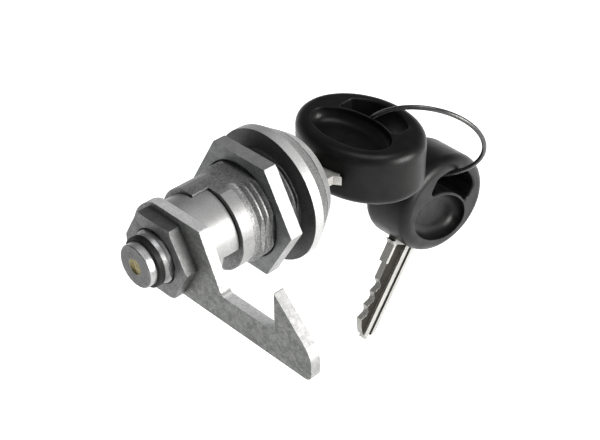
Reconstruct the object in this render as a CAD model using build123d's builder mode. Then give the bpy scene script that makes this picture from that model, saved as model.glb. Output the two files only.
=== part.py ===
from build123d import *
import math
import os

# Cam lock with a hook cam, two keys and a wire ring. Millimetres.
# The lock's axis is Y. The origin is the centre of the flange's rear face, which rests on the
# panel. The key side is at -Y, the cam side at +Y, and +Z is up.

# ---- housing: flange, threaded barrel and rear stop lug ----
flange_radius = 15.5
rim_length = 2.3
groove_y = -5.8
groove_width = 0.3
groove_edge_radius = 13.2
nose_radius = 10.55
nose_front_y = -7.3
thread_radius = 11.0
thread_pitch = 1.5
thread_depth = 0.85
thread_end_y = 11.5
relief_radius = 9.9
collar_front_y = 12.65
collar_radius = 10.4
collar_rear_y = 15.7
lug_rear_y = 19.85
lug_top_x = -0.055
lug_bottom_x = -2.16
flat_height = 9.7
side_flat = 10.3
bore_radius = 7.5
rotor_hub_radius = 6.0
flange_seat_radius = 9.2
flange_seat_y = -6.1
wafer_groove_radius = 8.9
wafer_groove_margin = 1.2

# ---- face ring on the housing's nose ----
ring_front_y = -8.9
ring_rear_radius = 13.0
ring_front_radius = 11.15
ring_recess_y = -7.4

# ---- panel nut, M22 thin ----
panel_nut_flats = 27.0
panel_nut_front_y = 4.0
panel_nut_height = 3.2

# ---- plug ----
plug_radius = 7.4
plug_front_y = -10.5
plug_rear_y = 15.55
plug_flange_radius = 9.05
keyway_z = -1.35
tongue_slot_y = 13.8
tongue_width = 4.0
keyway_spare = 0.4
keyway_height = 2.5
keyway_ribs = ((0.375, 1.75), (-3.05, 0.9))
rib_height = 0.5
seal_y = 8.8
seal_section_radius = 0.45
seal_groove_radius = 6.5
seal_groove_width = 1.2

# ---- key blade, in the key's own plane: across, along, thick ----
blade_thickness = 2.2
blade_back = -5.0
blade_cut_side = 3.4
neck_half_width = 5.0
neck_end = 18.9
blade_tip = 40.4
tang_start = 4.0
tang_half_width = 5.5
shoulder_half_width = 6.6
cut_pitch = 3.8
first_cut = 25.5
cut_count = 3
cut_flat = 0.8
cut_depth_line = 1.6
cut_peak = 2.95
last_peak = 35.0
groove_start = 13.5
groove_depth = 0.6
blade_grooves = ((1.65, 4.7, 1), (-3.05, 1.3, 1), (-1.4, 1.6, -1))

# ---- key bow ----
bow_half_width = 16.5
bow_half_length = 12.9
bow_half_thickness = 6.6
bow_edge_radius = 2.4
dish_centre = 3.25
dish_half_width = 11.4
dish_half_length = 6.15
dish_depth = 3.2
dish_floor_radius = 2.4
crescent_radius = 13.0
crescent_half_width = 9.0
crescent_wall_across = 0.9
crescent_wall_along = 0.65
crescent_corner_radius = 1.2
mouth_radius = 0.5

# ---- wafers ----
wafer_count = 6
wafer_pitch = 1.9
first_wafer_y = -4.0
wafer_thickness = 1.0
wafer_half_height = 4.0
wafer_window_play = 0.25
wafer_window_travel = 0.75
wafer_window_height = 2.7
ear_half_width = 0.6
ear_top = 5.6
pocket_left = -1.9
pocket_right = 3.6
spring_radius = 0.36
spring_wire_radius = 0.12
spring_turns = 5
spring_height = 4.85
spring_end_gap = 0.15

# ---- rotor, cam and its nut ----
sleeve_radius = 9.2
sleeve_rear_y = 25.0
rotor_gap = 0.3
stud_radius = 6.0
stud_flats = 10.7
stud_end_y = 32.4
stud_pitch = 1.25
cam_front_y = 25.05
cam_thickness = 2.4
cam_hub_radius = 10.55
cam_top = 10.1
arm_bottom = -9.1
arm_top = -2.6
shoulder_head = 10.8
shoulder_foot = 16.7
hook_inner = 31.9
hook_outer = 41.9
hook_tip = 7.0
cam_nut_flats = 17.0
cam_nut_height = 3.0
stop_angle = 7.4
bolt_hole_radius = 2.1
bolt_radius = 2.0
bolt_head_radius = 4.85
bolt_front_y = 11.75
bolt_rear_y = 35.66
dimple_radius = 1.9
dimple_depth = 0.4
washer_radius = 5.65
washer_thickness = 1.4

# ---- where the keys are ----
key_1_centre = (0, -29.5, keyway_z)
key_2_centre = (-3.75, -48.95, -22.0)
key_2_turn_dip_roll = (-3.8, 58.2, 83.1)

# ---- wire ring ----
ring_centre = (-6.72, -43.38, -3.28)
ring_axis = (0.525, -0.739, 0.422)
ring_radius = 14.35
ring_wire_radius = 0.55

clearance = 0.05


def rear(y):
    """Plane across the lock's axis, seen from the cam side: x to the right is -X, y is +Z."""
    return Plane(origin=(0, y, 0), x_dir=(-1, 0, 0), z_dir=(0, 1, 0))


def thread_points(start, end, crest, depth, pitch):
    """Points of a ridged edge, as (radius, y), from start to end along the axis."""
    points = []
    turns = int((end - start) / pitch)
    for turn in range(turns):
        y = start + turn * pitch
        points.append((crest - depth, y))
        points.append((crest, y + 0.4 * pitch))
        points.append((crest, y + 0.6 * pitch))
    points.append((crest - depth, start + turns * pitch))
    return points


# ================= housing =================
with BuildPart() as housing:
    with BuildSketch(Plane.XY):
        with BuildLine():
            Polyline(
                (0, nose_front_y),
                (nose_radius, nose_front_y),
                (nose_radius, groove_y),
                (groove_edge_radius, groove_y),
                (flange_radius, -rim_length),
                (flange_radius, 0),
                (thread_radius, 0),
                (thread_radius, 0.3),
                *thread_points(0.4, thread_end_y, thread_radius, thread_depth, thread_pitch),
                (relief_radius, thread_end_y),
                (relief_radius, collar_front_y),
                (collar_radius, collar_front_y),
                (collar_radius, lug_rear_y),
                (0, lug_rear_y),
                close=True,
            )
        make_face()
    revolve(axis=Axis.Y)
    # flats along the barrel
    with BuildSketch(rear(0)):
        Circle(3 * flange_radius)
        Rectangle(2 * side_flat, 2 * flat_height, mode=Mode.SUBTRACT)
    extrude(amount=lug_rear_y + 1, mode=Mode.SUBTRACT)
    # bore and the seat of the plug's flange
    with BuildSketch(rear(nose_front_y - 1)):
        Circle(bore_radius)
    extrude(amount=collar_rear_y - nose_front_y + 1, mode=Mode.SUBTRACT)
    with BuildSketch(rear(nose_front_y - 1)):
        Circle(flange_seat_radius)
    extrude(amount=flange_seat_y - nose_front_y + 1, mode=Mode.SUBTRACT)
    # the stop lug stays on the half away from the arm; the rest is cut away
    with BuildSketch(rear(collar_rear_y)):
        Circle(rotor_hub_radius + 0.15)
        with BuildLine():
            Polyline(
                (0, 0),
                (lug_top_x, flange_radius),
                (2 * flange_radius, flange_radius),
                (2 * flange_radius, -flange_radius),
                (lug_bottom_x, -flange_radius),
                close=True,
            )
        make_face()
    extrude(amount=lug_rear_y, mode=Mode.SUBTRACT)
    # grooves that take the wafers when the key is out, at both turned positions
    groove_length = (wafer_count - 1) * wafer_pitch + 2 * wafer_groove_margin
    groove_height = 2 * wafer_half_height + 0.4
    with BuildSketch(rear(first_wafer_y - wafer_groove_margin)):
        with Locations((-wafer_groove_radius / 2, 0)):
            Rectangle(wafer_groove_radius, groove_height)
        with Locations((0, wafer_groove_radius / 2)):
            Rectangle(groove_height, wafer_groove_radius)
    extrude(amount=groove_length, mode=Mode.SUBTRACT)
housing.part.label = "housing"

# ================= face ring =================
with BuildPart() as face_ring:
    with BuildSketch(Plane.XY):
        with BuildLine():
            Polyline(
                (plug_radius + 0.1, ring_front_y),
                (ring_front_radius, ring_front_y),
                (ring_rear_radius, groove_y - groove_width),
                (nose_radius + clearance, groove_y - groove_width),
                (nose_radius + clearance, ring_recess_y),
                (plug_radius + 0.1, ring_recess_y),
                close=True,
            )
        make_face()
    revolve(axis=Axis.Y)
    front_rim = face_ring.edges().group_by(Axis.Y)[0].sort_by(SortBy.RADIUS)[-1]
    fillet(front_rim, radius=0.8)
face_ring.part.label = "face_ring"


# ================= hexagon nuts =================
def hex_nut(flats, hole_radius, front_y, height, corner_cut, thread_chamfer):
    """Hexagon with corners on +X and -X, both ends coned off, and a chamfered hole."""
    corner_radius = flats / math.sqrt(3)
    with BuildPart() as nut:
        with BuildSketch(rear(front_y)):
            RegularPolygon(radius=corner_radius, side_count=6)
        extrude(amount=height)
        with BuildSketch(Plane.XY):
            with BuildLine():
                Polyline(
                    (hole_radius + thread_chamfer, front_y),
                    (corner_radius - corner_cut, front_y),
                    (corner_radius, front_y + 0.6 * corner_cut),
                    (corner_radius, front_y + height - 0.6 * corner_cut),
                    (corner_radius - corner_cut, front_y + height),
                    (hole_radius + thread_chamfer, front_y + height),
                    (hole_radius, front_y + height - thread_chamfer),
                    (hole_radius, front_y + thread_chamfer),
                    close=True,
                )
            make_face()
        revolve(axis=Axis.Y, mode=Mode.INTERSECT)
    return nut


panel_nut = hex_nut(
    panel_nut_flats, thread_radius + clearance, panel_nut_front_y, panel_nut_height, 0.15, 0.35
)
panel_nut.part.label = "panel_nut"
cam_rear_y = cam_front_y + cam_thickness
cam_nut = hex_nut(cam_nut_flats, stud_radius + clearance, cam_rear_y + 0.02, cam_nut_height, 0.5, 0.25)
cam_nut.part.label = "cam_nut"


# ================= plug =================
def wafer_y(index):
    """Middle of a wafer's thickness."""
    return first_wafer_y + index * wafer_pitch


keyway_end_y = key_1_centre[1] + blade_tip + keyway_spare
seal_groove_front_y = seal_y - seal_groove_width / 2

with BuildPart() as plug:
    with BuildSketch(rear(plug_front_y)):
        Circle(plug_radius)
    extrude(amount=plug_rear_y - plug_front_y)
    chamfer(plug.edges().group_by(Axis.Y)[0], length=0.4)
    with BuildSketch(rear(ring_recess_y + clearance)):
        Circle(plug_flange_radius)
    extrude(amount=flange_seat_y - ring_recess_y - 2 * clearance)
    # keyway, with ribs that fit the grooves of the blade
    with BuildSketch(rear(plug_front_y - 1)):
        with Locations(((blade_back + blade_cut_side) / 2, keyway_z)):
            Rectangle(blade_cut_side - blade_back + keyway_spare, keyway_height)
        for rib_x, rib_width in keyway_ribs:
            with Locations((rib_x, keyway_z - keyway_height / 2)):
                Rectangle(rib_width, 2 * rib_height, mode=Mode.SUBTRACT)
    extrude(amount=keyway_end_y - plug_front_y + 1, mode=Mode.SUBTRACT)
    # one slot for each wafer, with a side pocket for its ear and spring
    for index in range(wafer_count):
        with BuildSketch(rear(wafer_y(index) - wafer_thickness / 2 - clearance)):
            Rectangle(3 * plug_radius, 2 * wafer_half_height + 2 * clearance)
            with Locations(((pocket_left + pocket_right) / 2, ear_top / 2)):
                Rectangle(pocket_right - pocket_left, ear_top + 0.3)
        extrude(amount=wafer_thickness + 2 * clearance, mode=Mode.SUBTRACT)
    # seal groove near the rear
    with BuildSketch(rear(seal_groove_front_y)):
        Circle(plug_radius + 1)
        Circle(seal_groove_radius, mode=Mode.SUBTRACT)
    extrude(amount=seal_groove_width, mode=Mode.SUBTRACT)
    # slot for the rotor's tongue and the tapped hole of the tie bolt
    with BuildSketch(rear(tongue_slot_y)):
        Rectangle(tongue_width, 3 * plug_radius)
    extrude(amount=plug_rear_y, mode=Mode.SUBTRACT)
    with BuildSketch(rear(bolt_front_y - 0.1)):
        Circle(bolt_radius + clearance)
    extrude(amount=plug_rear_y, mode=Mode.SUBTRACT)
plug.part.label = "plug"

with BuildPart() as plug_seal:
    with BuildSketch(Plane.XY):
        with Locations((plug_radius + clearance - seal_section_radius, seal_y)):
            Circle(seal_section_radius)
    revolve(axis=Axis.Y)
plug_seal.part.label = "plug_seal"

# ================= wafers and their springs =================
window_left = blade_back - wafer_window_play
window_right = blade_cut_side + wafer_window_travel
wafers = []
wafer_springs = []
spring_length = pocket_right - ear_half_width - 2 * spring_end_gap
for index in range(wafer_count):
    with BuildPart() as wafer:
        with BuildSketch(rear(wafer_y(index) - wafer_thickness / 2)):
            Circle(plug_radius - clearance)
            Rectangle(3 * plug_radius, 2 * wafer_half_height, mode=Mode.INTERSECT)
            with Locations((0, ear_top / 2)):
                Rectangle(2 * ear_half_width, ear_top)
            with Locations(((window_left + window_right) / 2, keyway_z)):
                Rectangle(window_right - window_left, wafer_window_height, mode=Mode.SUBTRACT)
        extrude(amount=wafer_thickness)
    wafer.part.label = f"wafer_{index + 1}"
    wafers.append(wafer)

    spring_start = (-ear_half_width - spring_end_gap, wafer_y(index), spring_height)
    with BuildPart() as wafer_spring:
        with BuildLine():
            coil = Helix(
                spring_length / spring_turns, spring_length, spring_radius, spring_start, (-1, 0, 0)
            )
        with BuildSketch(Plane(origin=coil @ 0, z_dir=coil % 0)):
            RegularPolygon(radius=spring_wire_radius, side_count=8)
        sweep(is_frenet=True)
    wafer_spring.part.label = f"wafer_spring_{index + 1}"
    wafer_springs.append(wafer_spring)

# ================= rotor =================
tongue_front_y = tongue_slot_y + clearance
hub_front_y = plug_rear_y + clearance
sector_front_y = collar_rear_y + rotor_gap
sleeve_front_y = lug_rear_y + rotor_gap
stop_slope = math.tan(math.radians(stop_angle))
with BuildPart() as rotor:
    # threaded stud with four flats
    with BuildSketch(Plane.XY):
        with BuildLine():
            Polyline(
                (0, sleeve_rear_y - 1),
                (stud_radius - 0.6, sleeve_rear_y - 1),
                *thread_points(sleeve_rear_y, stud_end_y - 0.6, stud_radius, 0.6, stud_pitch),
                (stud_radius - 0.9, stud_end_y),
                (0, stud_end_y),
                close=True,
            )
        make_face()
    revolve(axis=Axis.Y)
    with BuildSketch(rear(sleeve_rear_y - 1)):
        Rectangle(stud_flats, stud_flats)
    extrude(amount=stud_end_y, mode=Mode.INTERSECT)
    # sleeve, stop sector, hub and tongue
    with BuildSketch(rear(sleeve_front_y)):
        Circle(sleeve_radius)
    extrude(amount=sleeve_rear_y - sleeve_front_y)
    with BuildSketch(rear(sector_front_y)):
        Circle(sleeve_radius)
        with BuildLine():
            Polyline(
                (clearance, 0),
                (clearance, flange_radius),
                (2 * flange_radius, flange_radius),
                (2 * flange_radius, -2 * flange_radius * stop_slope),
                close=True,
            )
        make_face(mode=Mode.INTERSECT)
        Circle(rotor_hub_radius)
    extrude(amount=sleeve_front_y - sector_front_y)
    with BuildSketch(rear(hub_front_y)):
        Circle(rotor_hub_radius)
    extrude(amount=sector_front_y - hub_front_y)
    with BuildSketch(rear(tongue_front_y)):
        Circle(rotor_hub_radius)
        Rectangle(tongue_width - 2 * clearance, 3 * plug_radius, mode=Mode.INTERSECT)
    extrude(amount=hub_front_y - tongue_front_y)
    with BuildSketch(rear(tongue_front_y - 1)):
        Circle(bolt_hole_radius)
    extrude(amount=stud_end_y, mode=Mode.SUBTRACT)
rotor.part.label = "rotor"

# ================= hook cam =================
with BuildPart() as hook_cam:
    with BuildSketch(rear(cam_front_y)) as cam_outline:
        with BuildLine():
            Polyline(
                (0, arm_bottom),
                (hook_outer, arm_bottom),
                (hook_outer, hook_tip - (hook_outer - hook_inner)),
                (hook_inner, hook_tip),
                (hook_inner, arm_top),
                (shoulder_foot, arm_top),
                (shoulder_head, cam_top),
                (0, cam_top),
                close=True,
            )
        make_face()
        rounded = (
            (hook_outer, arm_bottom, 1.8),
            (hook_outer, hook_tip - (hook_outer - hook_inner), 5.4),
            (hook_inner, arm_top, 0.5),
            (shoulder_foot, arm_top, 1.9),
            (shoulder_head, cam_top, 0.4),
        )
        for corner_x, corner_z, corner_round in rounded:
            corner = cam_outline.vertices().sort_by_distance(Vector(corner_x, corner_z))[0]
            fillet(corner, radius=corner_round)
        Circle(cam_hub_radius)
        with Locations((0, (cam_top + arm_bottom) / 2)):
            Rectangle(4 * hook_outer, cam_top - arm_bottom, mode=Mode.INTERSECT)
    extrude(amount=cam_thickness)
    with BuildSketch(rear(cam_front_y)):
        Circle(stud_radius + 0.1)
        Rectangle(stud_flats + 0.1, stud_flats + 0.1, mode=Mode.INTERSECT)
    extrude(amount=cam_thickness, mode=Mode.SUBTRACT)
hook_cam.part.label = "hook_cam"

# ================= end washer and tie bolt =================
washer_rear_y = stud_end_y + washer_thickness
with BuildPart() as end_washer:
    with BuildSketch(rear(stud_end_y)):
        Circle(washer_radius)
        Circle(bolt_hole_radius, mode=Mode.SUBTRACT)
    extrude(amount=washer_thickness)
    chamfer(end_washer.edges().group_by(Axis.Y)[-1].sort_by(SortBy.RADIUS)[-1], length=0.2)
end_washer.part.label = "end_washer"

with BuildPart() as tie_bolt:
    with BuildSketch(Plane.XY):
        with BuildLine():
            Polyline(
                (0, bolt_front_y),
                (bolt_radius - 0.3, bolt_front_y),
                (bolt_radius, bolt_front_y + 0.3),
                (bolt_radius, washer_rear_y),
                (bolt_head_radius, washer_rear_y),
                (bolt_head_radius, bolt_rear_y - 0.25),
                (bolt_head_radius - 0.25, bolt_rear_y),
                (dimple_radius, bolt_rear_y),
                (dimple_radius - 0.4, bolt_rear_y - dimple_depth),
                (0, bolt_rear_y - dimple_depth),
                close=True,
            )
        make_face()
    revolve(axis=Axis.Y)
tie_bolt.part.label = "tie_bolt"


# ================= keys =================
def key_plane(centre, turn, dip, roll):
    """Plane of a key's bow: x across towards the cuts, y along the blade to its tip."""
    flat = Plane(origin=(0, 0, 0), x_dir=(-1, 0, 0), z_dir=(0, 0, -1))
    swung = Rotation(0, 0, turn) * Rotation(-dip, 0, 0) * Rotation(0, roll, 0)
    return Plane(Location(centre) * swung * flat.location)


def cut_edge():
    """The cut side of the blade, from the tip back to the first cut."""
    points = [(-1.7, blade_tip - 0.2), (-1.2, blade_tip - 0.7), (1.4, 37.2), (3.0, last_peak)]
    for cut in reversed(range(cut_count)):
        bottom = first_cut + cut * cut_pitch
        points.append((cut_depth_line, bottom + cut_flat / 2))
        points.append((cut_depth_line, bottom - cut_flat / 2))
        if cut > 0:
            points.append((cut_peak, bottom - cut_pitch / 2))
    points.append((blade_cut_side, first_cut - 1.7))
    return points


def key_blade(plane):
    """Flat blade with cuts, grooves on both faces, a neck step, and a tang inside the bow."""
    shoulder_y = bow_half_length - 0.1
    with BuildPart() as blade:
        with BuildSketch(plane.offset(-blade_thickness / 2)):
            with BuildLine():
                Polyline(
                    (-tang_half_width, tang_start),
                    (-tang_half_width, shoulder_y),
                    (-shoulder_half_width, shoulder_y),
                    (-neck_half_width, bow_half_length + 1.0),
                    (blade_back, 38.2),
                    (-2.2, blade_tip),
                    *cut_edge(),
                    (blade_cut_side, neck_end),
                    (neck_half_width, neck_end),
                    (neck_half_width, bow_half_length + 1.0),
                    (shoulder_half_width, shoulder_y),
                    (tang_half_width, shoulder_y),
                    (tang_half_width, tang_start),
                    close=True,
                )
            make_face()
        extrude(amount=blade_thickness)
        groove_length = blade_tip + 2 - groove_start
        for centre_across, width, side in blade_grooves:
            with BuildSketch(plane.offset(side * (blade_thickness / 2 - groove_depth))):
                with Locations((centre_across, groove_start + groove_length / 2)):
                    Rectangle(width, groove_length)
            extrude(amount=side * 2, mode=Mode.SUBTRACT)
    return blade


def key_bow(plane):
    """Moulded elliptical head: a dish on each face, a crescent hole and a pocket for the tang."""
    with BuildPart() as bow:
        with BuildSketch(plane.offset(-bow_half_thickness)):
            Ellipse(bow_half_width, bow_half_length)
        extrude(amount=2 * bow_half_thickness)
        fillet(bow.edges().filter_by(GeomType.ELLIPSE), radius=bow_edge_radius)
        for side in (1, -1):
            with BuildSketch(plane.offset(side * (bow_half_thickness - dish_depth))):
                with Locations((0, dish_centre)):
                    Ellipse(dish_half_width, dish_half_length)
            extrude(amount=side * 2 * dish_depth, mode=Mode.SUBTRACT)
            dish_edges = bow.edges(Select.LAST).filter_by(GeomType.ELLIPSE)
            dish_edges = dish_edges.sort_by(Axis(plane.origin, side * plane.z_dir))
            fillet(dish_edges[0], radius=dish_floor_radius)
        with BuildSketch(plane.offset(-2 * bow_half_thickness)) as crescent:
            with Locations((0, dish_centre)):
                Circle(crescent_radius)
                Ellipse(
                    dish_half_width + crescent_wall_across,
                    dish_half_length + crescent_wall_along,
                    mode=Mode.SUBTRACT,
                )
            with Locations((0, dish_centre - crescent_radius)):
                Rectangle(2 * crescent_half_width, 2 * crescent_radius, mode=Mode.INTERSECT)
            fillet(crescent.vertices(), radius=crescent_corner_radius)
        extrude(amount=4 * bow_half_thickness, mode=Mode.SUBTRACT)
        mouth = bow.edges(Select.LAST).filter_by(GeomType.CIRCLE).filter_by(
            lambda edge: edge.radius > dish_half_length
        )
        mouth = mouth.sort_by(Axis(plane.origin, plane.z_dir))
        fillet((mouth[0], mouth[-1]), radius=mouth_radius)
        # pocket for the tang
        with BuildSketch(plane.offset(-blade_thickness / 2)):
            with Locations((0, tang_start)):
                Rectangle(2 * tang_half_width, bow_half_width, align=(Align.CENTER, Align.MIN))
        extrude(amount=blade_thickness, mode=Mode.SUBTRACT)
    return bow


key_planes = (key_plane(key_1_centre, 0, 0, 0), key_plane(key_2_centre, *key_2_turn_dip_roll))
keys = []
for number, plane in enumerate(key_planes, start=1):
    blade = key_blade(plane)
    blade.part.label = f"key_blade_{number}"
    bow = key_bow(plane)
    bow.part.label = f"key_bow_{number}"
    keys += [blade, bow]

# ================= wire ring through both bows =================
ring_plane = Plane(origin=ring_centre, z_dir=ring_axis)
with BuildPart() as key_ring:
    with BuildSketch(Plane(origin=ring_centre, x_dir=ring_plane.x_dir, z_dir=ring_plane.y_dir)):
        with Locations((ring_radius, 0)):
            Circle(ring_wire_radius)
    revolve(axis=Axis(ring_centre, ring_axis))
key_ring.part.label = "key_ring"

# ================= one file for each piece =================
os.makedirs("parts", exist_ok=True)
pieces = [housing, face_ring, panel_nut, plug, plug_seal, rotor, hook_cam, cam_nut, end_washer, tie_bolt]
pieces += wafers + wafer_springs + keys + [key_ring]
for piece in pieces:
    export_step(piece.part, f"parts/{piece.part.label}.step")
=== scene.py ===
import bpy
import numpy as np
from mathutils import Matrix, Vector


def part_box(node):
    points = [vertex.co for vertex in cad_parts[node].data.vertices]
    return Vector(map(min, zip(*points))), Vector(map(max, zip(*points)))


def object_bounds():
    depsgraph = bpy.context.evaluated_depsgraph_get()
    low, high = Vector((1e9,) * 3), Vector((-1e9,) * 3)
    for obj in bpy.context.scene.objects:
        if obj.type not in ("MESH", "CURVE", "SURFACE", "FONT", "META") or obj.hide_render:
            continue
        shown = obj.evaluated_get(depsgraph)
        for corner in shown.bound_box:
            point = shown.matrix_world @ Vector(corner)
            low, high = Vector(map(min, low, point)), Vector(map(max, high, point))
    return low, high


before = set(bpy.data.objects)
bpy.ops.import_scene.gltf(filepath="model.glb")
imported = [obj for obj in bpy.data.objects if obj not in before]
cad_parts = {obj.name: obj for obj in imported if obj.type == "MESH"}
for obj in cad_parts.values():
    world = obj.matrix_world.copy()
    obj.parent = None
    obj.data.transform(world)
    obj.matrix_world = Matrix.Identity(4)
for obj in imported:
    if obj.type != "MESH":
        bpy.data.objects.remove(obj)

# Cam lock with a hook cam, two keys and a wire ring. The CAD nodes carry all the shapes. This
# script gives each one its material and sets the floor, the lights and the camera.

cad_low, cad_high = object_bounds()

MM = 0.001
TO_MM = 1000.0

# ---- camera ----
CAMERA_PLACE = Vector((-0.1738, 0.1570, 0.1641))
CAMERA_FORWARD = Vector((0.5819, -0.5601, -0.5896))
CAMERA_RIGHT = Vector((-0.6978, -0.7163, -0.0082))
LENS = 79.74
SENSOR = 36.0
CLIP_START = 0.01

# ---- floor and light ----
FLOOR_GAP = 0.0010
FLOOR_SIZE = 6.0
FLOOR_GLOW = 0.80
FLOOR_LEVEL = 0.6
FLOOR_ROUGHNESS = 0.9
WORLD_LEVEL = 0.13
HORIZON_LEVEL = 0.85
HORIZON_TOP = 0.12
SKY_BOTTOM = 0.32

# Each softbox points at the lock: name, place, side, watts, tint
LIGHTS = (
    ("key", (-0.55, -0.16, 0.16), 0.36, 9.5, (1.0, 0.99, 0.97)),
    ("top", (-0.05, 0.05, 0.70), 0.40, 3.0, (0.97, 0.98, 1.0)),
)

# ---- where the repainted zones are, in mm ----
THREAD_RADIUS = 11.0
FLANGE_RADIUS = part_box("housing")[1].x * TO_MM
COLLAR_FRONT = 11.5
COLLAR_INSIDE = 10.05
BOLT_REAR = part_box("tie_bolt")[1].y * TO_MM
DIMPLE_RADIUS = 1.85
GROOVE_LEVEL = 0.85

# ---- detail that the finishes share ----
NODE_SAMPLES = 6
TONE_RANGE = (0.40, 0.60)
EDGE_RANGE = (0.995, 0.86)
ROUGHNESS_SPREAD = 0.08
# Size of the patches in which metal edges are painted lighter, as wear and painted highlight.
WEAR_AND_HIGHLIGHT_PATCH = 1.3
# Reach of the painted shade in the corners of the metal parts, in mm.
CORNER_REACH = 1.6
CRYSTAL_SHARE = 0.16
SHEEN_PATCH = 3.5
SHEEN_SPREAD = 0.07
# Reach of the painted shade in the plastic bows' dishes, in mm.
DISH_REACH = 5.0


class Shader:
    """One procedural material, built node by node."""

    def __init__(self, name):
        self.material = bpy.data.materials.new(name)
        self.material.use_nodes = True
        self.tree = self.material.node_tree
        self.tree.nodes.clear()
        self.output = self.add("ShaderNodeOutputMaterial")
        self.surface = self.add("ShaderNodeBsdfPrincipled")
        self.join(self.surface.outputs["BSDF"], self.output.inputs["Surface"])
        place = self.add("ShaderNodeTexCoord").outputs["Object"]
        self.place = self.vector("MULTIPLY", place, (TO_MM, TO_MM, TO_MM))

    def add(self, kind, **settings):
        node = self.tree.nodes.new(kind)
        for key, value in settings.items():
            setattr(node, key, value)
        return node

    def join(self, source, socket):
        self.tree.links.new(source, socket)

    def feed(self, socket, value):
        if isinstance(value, bpy.types.NodeSocket):
            self.join(value, socket)
        else:
            socket.default_value = value

    def math(self, operation, first, second=0.0):
        node = self.add("ShaderNodeMath", operation=operation)
        self.feed(node.inputs[0], first)
        self.feed(node.inputs[1], second)
        return node.outputs[0]

    def vector(self, operation, first, second=(0.0, 0.0, 0.0)):
        node = self.add("ShaderNodeVectorMath", operation=operation)
        self.feed(node.inputs[0], first)
        self.feed(node.inputs[1], second)
        if operation in ("DOT_PRODUCT", "LENGTH"):
            return node.outputs["Value"]
        return node.outputs["Vector"]

    def ramp(self, value, low, high, out_low=0.0, out_high=1.0):
        """Maps low..high to out_low..out_high, and stops there."""
        node = self.add("ShaderNodeMapRange", clamp=True)
        self.feed(node.inputs["Value"], value)
        node.inputs["From Min"].default_value = low
        node.inputs["From Max"].default_value = high
        node.inputs["To Min"].default_value = out_low
        node.inputs["To Max"].default_value = out_high
        return node.outputs["Result"]

    def mix(self, amount, first, second):
        """Two colours mixed. The colour sockets of that node are its inputs 6 and 7, and output 2."""
        node = self.add("ShaderNodeMix", data_type="RGBA")
        self.feed(node.inputs[0], amount)
        self.feed(node.inputs[6], first)
        self.feed(node.inputs[7], second)
        return node.outputs[2]

    def noise(self, place, size, detail=3.0, roughness=0.55):
        """Noise with features of about that size in mm."""
        node = self.add("ShaderNodeTexNoise")
        self.feed(node.inputs["Vector"], place)
        node.inputs["Scale"].default_value = 1.0 / size
        node.inputs["Detail"].default_value = detail
        node.inputs["Roughness"].default_value = roughness
        return node.outputs["Fac"]

    def cells(self, place, size):
        """One random level for each crystal of about that size in mm."""
        node = self.add("ShaderNodeTexVoronoi", feature="F1")
        self.feed(node.inputs["Vector"], place)
        node.inputs["Scale"].default_value = 1.0 / size
        return self.split(node.outputs["Color"]).outputs["X"]

    def split(self, vector):
        node = self.add("ShaderNodeSeparateXYZ")
        self.join(vector, node.inputs[0])
        return node

    def scaled(self, vector, factor):
        node = self.add("ShaderNodeVectorMath", operation="SCALE")
        self.join(vector, node.inputs[0])
        self.join(factor, node.inputs["Scale"])
        return node.outputs["Vector"]

    def facing(self):
        """The surface's normal in the node's own frame."""
        return self.add("ShaderNodeTexCoord").outputs["Normal"]

    def along_y(self):
        """How far the surface faces along Y, either way."""
        return self.math("ABSOLUTE", self.split(self.facing()).outputs["Y"])

    def turned(self):
        """Coordinates of a turned part as one vector, then its radius and its place along Y."""
        split = self.split(self.place)
        radius = self.vector("LENGTH", self.vector("MULTIPLY", self.place, (1.0, 0.0, 1.0)))
        joined = self.add("ShaderNodeCombineXYZ")
        self.join(radius, joined.inputs["X"])
        self.join(split.outputs["Y"], joined.inputs["Y"])
        return joined.outputs[0], radius, split.outputs["Y"]

    def edges(self, radius):
        """One at a sharp edge, nought on a flat, and the softened normal there."""
        bevel = self.add("ShaderNodeBevel", samples=NODE_SAMPLES)
        bevel.inputs["Radius"].default_value = radius * MM
        true_normal = self.add("ShaderNodeNewGeometry").outputs["Normal"]
        dot = self.vector("DOT_PRODUCT", bevel.outputs["Normal"], true_normal)
        return self.ramp(dot, *EDGE_RANGE), bevel.outputs["Normal"]

    def hollows(self, distance):
        """One where the surface is open, falling to nought in corners and grooves."""
        node = self.add("ShaderNodeAmbientOcclusion", samples=NODE_SAMPLES)
        node.inputs["Distance"].default_value = distance * MM
        return node.outputs["AO"]

    def bump(self, height, depth, normal):
        node = self.add("ShaderNodeBump")
        node.inputs["Strength"].default_value = 1.0
        node.inputs["Distance"].default_value = depth * MM
        self.join(height, node.inputs["Height"])
        self.join(normal, node.inputs["Normal"])
        return node.outputs["Normal"]

    def finish(self, colour, roughness, gloss, height, depth, normal):
        """Joins the finish to the surface."""
        self.join(colour, self.surface.inputs["Base Color"])
        self.join(roughness, self.surface.inputs["Roughness"])
        self.surface.inputs["Specular IOR Level"].default_value = gloss
        self.join(self.bump(height, depth, normal), self.surface.inputs["Normal"])


def rgba(colour):
    return (colour[0], colour[1], colour[2], 1.0)


def grey(level):
    return (level, level, level)


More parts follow.
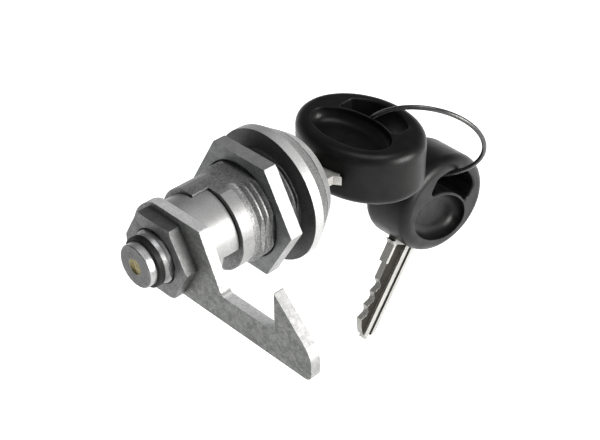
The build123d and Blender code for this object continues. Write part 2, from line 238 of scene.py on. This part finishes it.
def metal(name, dark, light, metallic, rough, grain, depth, mottle, lines=0.0, line_width=0.12,
          wear_and_highlight=None, edge=0.18, corner_shade=0.35, patches=0.3, spangle=0.0,
          gloss=0.5, zone_rough=0.0, zones=()):
    """A metal with fine grain and soft mottling. Lines are turning marks round the Y axis, spangle is
    the crystal pattern of galvanised sheet, and each zone repaints the part that its mask picks, some
    of them with painted light or shade. Corners and grooves get painted shade, and edges are painted
    lighter, partly as wear and partly as painted highlight."""
    s = Shader(name)
    fine = s.noise(s.place, grain, 4.0, 0.7)
    broad = s.noise(s.place, mottle, 3.0, 0.5)
    tone = s.math("ADD", s.math("MULTIPLY", fine, 1.0 - patches), s.math("MULTIPLY", broad, patches))
    height = fine
    if lines:
        streak = s.noise(s.turned()[0], line_width, 2.0, 0.6)
        tone = s.math("ADD", tone, s.math("MULTIPLY", s.math("SUBTRACT", streak, 0.5), lines))
        height = s.math("ADD", s.math("MULTIPLY", fine, 0.5), s.math("MULTIPLY", streak, lines))
    if spangle:
        crystal = s.math("SUBTRACT", s.cells(s.place, spangle), 0.5)
        tone = s.math("ADD", tone, s.math("MULTIPLY", crystal, CRYSTAL_SHARE))
    tone = s.ramp(tone, *TONE_RANGE)
    colour = s.mix(tone, rgba(dark), rgba(light))
    roughness = s.ramp(tone, 0.0, 1.0, rough + ROUGHNESS_SPREAD, rough - ROUGHNESS_SPREAD)
    for zone, zone_dark, zone_light in zones:
        mask = zone(s)
        colour = s.mix(mask, colour, s.mix(tone, rgba(zone_dark), rgba(zone_light)))
        roughness = s.math("ADD", roughness, s.math("MULTIPLY", mask, zone_rough))
    edge_mask, soft_normal = s.edges(edge)
    # Edges are painted lighter in patches: partly wear, partly painted highlight.
    patchy = s.ramp(s.noise(s.place, WEAR_AND_HIGHLIGHT_PATCH), 0.35, 0.62, 0.15, 0.75)
    wear_and_highlight_colour = rgba(wear_and_highlight or [min(1.0, part * 1.5) for part in light])
    colour = s.mix(s.math("MULTIPLY", edge_mask, patchy), colour, wear_and_highlight_colour)
    # Painted shade: the colour is darkened where the surface is closed in, in corners, grooves and
    # between parts.
    shade = s.ramp(s.hollows(CORNER_REACH), 0.25, 0.85, 1.0 - corner_shade, 1.0)
    s.surface.inputs["Metallic"].default_value = metallic
    s.finish(s.scaled(colour, shade), roughness, gloss, height, depth, soft_normal)
    return s


def plastic(name, dark, light, rough, grain, depth, gloss, edge=0.3):
    """Moulded plastic: fine erosion texture, a slightly mottled sheen, and edges painted lighter,
    partly as polish and partly as painted highlight.
    """
    s = Shader(name)
    fine = s.noise(s.place, grain, 4.0, 0.6)
    broad = s.noise(s.place, SHEEN_PATCH, 4.0, 0.6)
    edge_mask, soft_normal = s.edges(edge)
    colour = s.mix(s.ramp(broad, 0.35, 0.65), rgba(dark), rgba(light))
    # Edges are painted lighter: partly polish, partly painted highlight.
    wear_and_highlight_colour = rgba([part * 2.0 for part in light])
    colour = s.mix(s.math("MULTIPLY", edge_mask, 0.5), colour, wear_and_highlight_colour)
    # Painted shade: the colour is darkened in the thumb dish and in corners, down to 0.35 where most
    # closed in.
    shade = s.ramp(s.hollows(DISH_REACH), 0.15, 0.8, 0.35, 1.0)
    sheen = s.math("ADD", s.math("MULTIPLY", broad, 0.7), s.math("MULTIPLY", fine, 0.3))
    roughness = s.ramp(sheen, 0.35, 0.65, rough + SHEEN_SPREAD, rough - SHEEN_SPREAD)
    s.finish(s.scaled(colour, shade), roughness, gloss, fine, depth, soft_normal)
    return s


# The sheet's thickness is painted lighter than its faces: partly the bare cut edge, partly painted
# highlight.
def sheared_edge(s):
    """The sheet's thickness: every face that doesn't look along Y."""
    return s.ramp(s.along_y(), 0.7, 0.5)


# Painted highlight: the upward-facing part of the sheet's thickness is painted much lighter.
def upper_edge(s):
    """The part of that thickness that looks up."""
    return s.ramp(s.split(s.facing()).outputs["Z"], 0.8, 0.95)


# Painted light: the facets get their own tone apart from the end faces, lighter on the panel nut and
# darker on the cam nut.
def nut_sides(s):
    """A nut's six facets."""
    return s.ramp(s.along_y(), 0.35, 0.15)


# Painted shade: this face is painted much darker than the rest of the housing.
def flange_back(s):
    """The flange's rear face, outside the thread."""
    radius, along = s.turned()[1:]
    outside = s.ramp(radius, THREAD_RADIUS + 0.02, THREAD_RADIUS + 0.06)
    return s.math("MULTIPLY", outside, s.ramp(s.math("ABSOLUTE", along), 0.06, 0.03))


# Painted highlight: this band is painted lighter than the rest of the housing.
def flange_rim(s):
    """The straight band round the flange."""
    return s.ramp(s.turned()[1], FLANGE_RADIUS - 0.10, FLANGE_RADIUS - 0.02)


def collar(s):
    """The plain collar behind the thread, apart from its flats."""
    radius, along = s.turned()[1:]
    round_part = s.ramp(radius, COLLAR_INSIDE - 0.1, COLLAR_INSIDE + 0.1)
    return s.math("MULTIPLY", round_part, s.ramp(along, COLLAR_FRONT - 0.1, COLLAR_FRONT + 0.1))


# Painted shade: this face is painted much darker than the bolt's bright side.
def bolt_face(s):
    """The rear face of the bolt's head."""
    return s.ramp(s.turned()[2], BOLT_REAR - 0.26, BOLT_REAR - 0.06)


def bolt_dimple(s):
    """The dimple in that face."""
    radius, along = s.turned()[1:]
    inside = s.ramp(radius, DIMPLE_RADIUS + 0.15, DIMPLE_RADIUS - 0.15)
    return s.math("MULTIPLY", inside, s.ramp(along, BOLT_REAR - 0.66, BOLT_REAR - 0.56))


# Painted shade: these groove floors are painted near black.
def groove_floor(node_name):
    """The floors of the grooves milled along a blade's two faces."""
    points = np.array([vertex.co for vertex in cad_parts[node_name].data.vertices]) * TO_MM
    thin_way = np.linalg.svd(points - points.mean(0), full_matrices=False)[2][2]
    across = points @ thin_way
    middle = float(across.max() + across.min()) / 2
    thin_way = thin_way.tolist()

    def mask(s):
        offset = s.math("SUBTRACT", s.vector("DOT_PRODUCT", s.place, thin_way), middle)
        deep = s.ramp(s.math("ABSOLUTE", offset), GROOVE_LEVEL + 0.1, GROOVE_LEVEL - 0.1)
        flat = s.math("ABSOLUTE", s.vector("DOT_PRODUCT", s.facing(), thin_way))
        return s.math("MULTIPLY", deep, s.ramp(flat, 0.6, 0.8))

    return mask


housing_metal = metal("plated_zinc", grey(0.08), grey(0.21), 0.5, 0.44, 0.34, 0.035, 2.6,
                      lines=0.08, wear_and_highlight=grey(0.60), corner_shade=0.65, edge=0.08, patches=0.18,
                      # Painted shade on the flange's rear face.
                      zones=((flange_back, grey(0.03), grey(0.07)),
                             # Painted highlight on the flange's rim band.
                             (flange_rim, grey(0.28), grey(0.36)),
                             (collar, grey(0.17), grey(0.22))))
trim_metal = metal("bright_trim", grey(0.20), grey(0.42), 0.6, 0.36, 0.25, 0.020, 2.5, lines=0.2,
                   wear_and_highlight=grey(0.80), corner_shade=0.7, edge=0.12)
nut_metal = metal("nut_steel", (0.085, 0.092, 0.088), (0.165, 0.176, 0.170), 0.5, 0.42, 0.26, 0.020,
                  2.0, wear_and_highlight=grey(0.60), corner_shade=0.5, edge=0.12,
                  # Painted highlight: the panel nut's facets are painted lighter than its end faces.
                  zones=((nut_sides, grey(0.15), grey(0.26)),))
cam_nut_metal = metal("cam_nut_steel", grey(0.075), grey(0.155), 0.5, 0.42, 0.30, 0.025, 2.0,
                      wear_and_highlight=grey(0.45), corner_shade=0.6, edge=0.15,
                      # Painted shade: the cam nut's facets are painted darker than its end faces.
                      zones=((nut_sides, grey(0.05), grey(0.10)),))
plug_metal = metal("plug_metal", grey(0.20), grey(0.38), 0.6, 0.38, 0.2, 0.012, 2.0, lines=0.2)
sleeve_metal = metal("satin_sleeve", grey(0.185), grey(0.265), 0.5, 0.38, 0.25, 0.008, 3.0, lines=0.12,
                     line_width=0.2, wear_and_highlight=grey(0.60), corner_shade=0.8, edge=0.08)
cam_metal = metal("galvanised_sheet", (0.095, 0.10, 0.096), (0.170, 0.175, 0.165), 0.5, 0.42, 0.34,
                  0.020, 1.4, wear_and_highlight=grey(0.60), edge=0.15, spangle=0.8,
                  # Thickness painted lighter: partly bare cut edge, partly painted highlight.
                  zones=((sheared_edge, grey(0.16), grey(0.23)),
                         # Painted highlight on the cam's upper edge.
                         (upper_edge, grey(0.45), grey(0.62))))
washer_metal = metal("black_washer", grey(0.003), grey(0.009), 0.0, 0.55, 0.25, 0.010, 2.0,
                     wear_and_highlight=grey(0.04), gloss=0.15)
bolt_metal = metal("bolt_steel", grey(0.24), grey(0.40), 0.65, 0.32, 0.2, 0.010, 2.0, lines=0.3,
                   wear_and_highlight=grey(0.75),
                   # Painted shade on the bolt head's rear face.
                   zones=((bolt_face, grey(0.05), grey(0.11)),
                          (bolt_dimple, (0.12, 0.10, 0.03), (0.26, 0.22, 0.09))))
blade_metals = {
    name: metal("key_nickel_" + name[-1], (0.26, 0.255, 0.24), (0.42, 0.415, 0.39), 0.6, 0.32, 0.3,
                0.008, 3.0, wear_and_highlight=grey(0.70), corner_shade=0.9, edge=0.10, gloss=0.3, zone_rough=0.4,
                # Painted shade on the blade's groove floors.
                zones=((groove_floor(name), (0.008, 0.007, 0.005), (0.022, 0.019, 0.014)),))
    for name in ("key_blade_1", "key_blade_2")
}
wire_metal = metal("ring_wire", grey(0.03), grey(0.08), 0.7, 0.28, 0.3, 0.004, 3.0, wear_and_highlight=grey(0.08))
brass_metal = metal("wafer_brass", (0.45, 0.33, 0.12), (0.70, 0.54, 0.24), 0.8, 0.34, 0.2, 0.006, 2.0)
spring_metal = metal("spring_steel", grey(0.35), grey(0.55), 0.8, 0.30, 0.1, 0.003, 1.0)
black_plastic = plastic("black_plastic", grey(0.0025), grey(0.006), 0.36, 0.28, 0.014, 0.15)
seal_rubber = plastic("seal_rubber", grey(0.012), grey(0.025), 0.65, 0.2, 0.012, 0.3)

FINISHES = (
    ("housing", housing_metal),
    ("face_ring", trim_metal),
    ("panel_nut", nut_metal),
    ("plug_seal", seal_rubber),
    ("plug", plug_metal),
    ("wafer_spring", spring_metal),
    ("wafer", brass_metal),
    ("rotor", sleeve_metal),
    ("hook_cam", cam_metal),
    ("cam_nut", cam_nut_metal),
    ("end_washer", washer_metal),
    ("tie_bolt", bolt_metal),
    ("key_blade_1", blade_metals["key_blade_1"]),
    ("key_blade_2", blade_metals["key_blade_2"]),
    ("key_bow", black_plastic),
    ("key_ring", wire_metal),
)

for node_name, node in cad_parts.items():
    finish = next(made for start, made in FINISHES if node_name.startswith(start))
    node.data.materials.clear()
    node.data.materials.append(finish.material)

# ---- floor ----
floor_data = bpy.data.meshes.new("floor")
half = FLOOR_SIZE / 2
floor_z = cad_low.z - FLOOR_GAP
floor_data.from_pydata(
    [(-half, -half, floor_z), (half, -half, floor_z), (half, half, floor_z), (-half, half, floor_z)],
    [],
    [(0, 1, 2, 3)],
)
floor = bpy.data.objects.new("floor", floor_data)
bpy.context.scene.collection.objects.link(floor)
floor_paint = Shader("floor_paint")
floor_paint.surface.inputs["Base Color"].default_value = rgba(grey(FLOOR_LEVEL))
floor_paint.surface.inputs["Roughness"].default_value = FLOOR_ROUGHNESS
floor_paint.surface.inputs["Specular IOR Level"].default_value = 0.0
floor_paint.surface.inputs["Emission Color"].default_value = rgba(grey(1.0))
floor_paint.surface.inputs["Emission Strength"].default_value = FLOOR_GLOW
floor_data.materials.append(floor_paint.material)

# ---- light ----
world = bpy.data.worlds.new("studio")
world.use_nodes = True
studio = world.node_tree
background = studio.nodes["Background"]
sky_place = studio.nodes.new("ShaderNodeTexCoord")
sky_split = studio.nodes.new("ShaderNodeSeparateXYZ")
sky_fade = studio.nodes.new("ShaderNodeMapRange")
studio.links.new(sky_place.outputs["Generated"], sky_split.inputs[0])
studio.links.new(sky_split.outputs["Z"], sky_fade.inputs["Value"])
sky_fade.inputs["From Min"].default_value = HORIZON_TOP
sky_fade.inputs["From Max"].default_value = SKY_BOTTOM
sky_fade.inputs["To Min"].default_value = HORIZON_LEVEL
sky_fade.inputs["To Max"].default_value = WORLD_LEVEL
studio.links.new(sky_fade.outputs["Result"], background.inputs["Color"])
background.inputs["Strength"].default_value = 1.0
bpy.context.scene.world = world

for light_name, light_place, side, watts, tint in LIGHTS:
    light_data = bpy.data.lights.new(light_name, "AREA")
    light_data.shape = "SQUARE"
    light_data.size = side
    light_data.energy = watts
    light_data.color = tint
    light = bpy.data.objects.new(light_name, light_data)
    light.location = light_place
    towards_lock = -Vector(light_place)
    light.rotation_euler = towards_lock.to_track_quat("-Z", "Y").to_euler()
    bpy.context.scene.collection.objects.link(light)

# ---- camera ----
camera_data = bpy.data.cameras.new("camera")
camera_data.lens = LENS
camera_data.sensor_width = SENSOR
camera_data.clip_start = CLIP_START
camera = bpy.data.objects.new("camera", camera_data)
forward = CAMERA_FORWARD.normalized()
right = (CAMERA_RIGHT - forward * CAMERA_RIGHT.dot(forward)).normalized()
up = right.cross(forward)
turn = Matrix((right, up, -forward)).transposed()
camera.matrix_world = Matrix.Translation(CAMERA_PLACE) @ turn.to_4x4()
bpy.context.scene.collection.objects.link(camera)
bpy.context.scene.camera = camera

bpy.context.scene.view_settings.view_transform = "Standard"
bpy.context.scene.view_settings.look = "None"
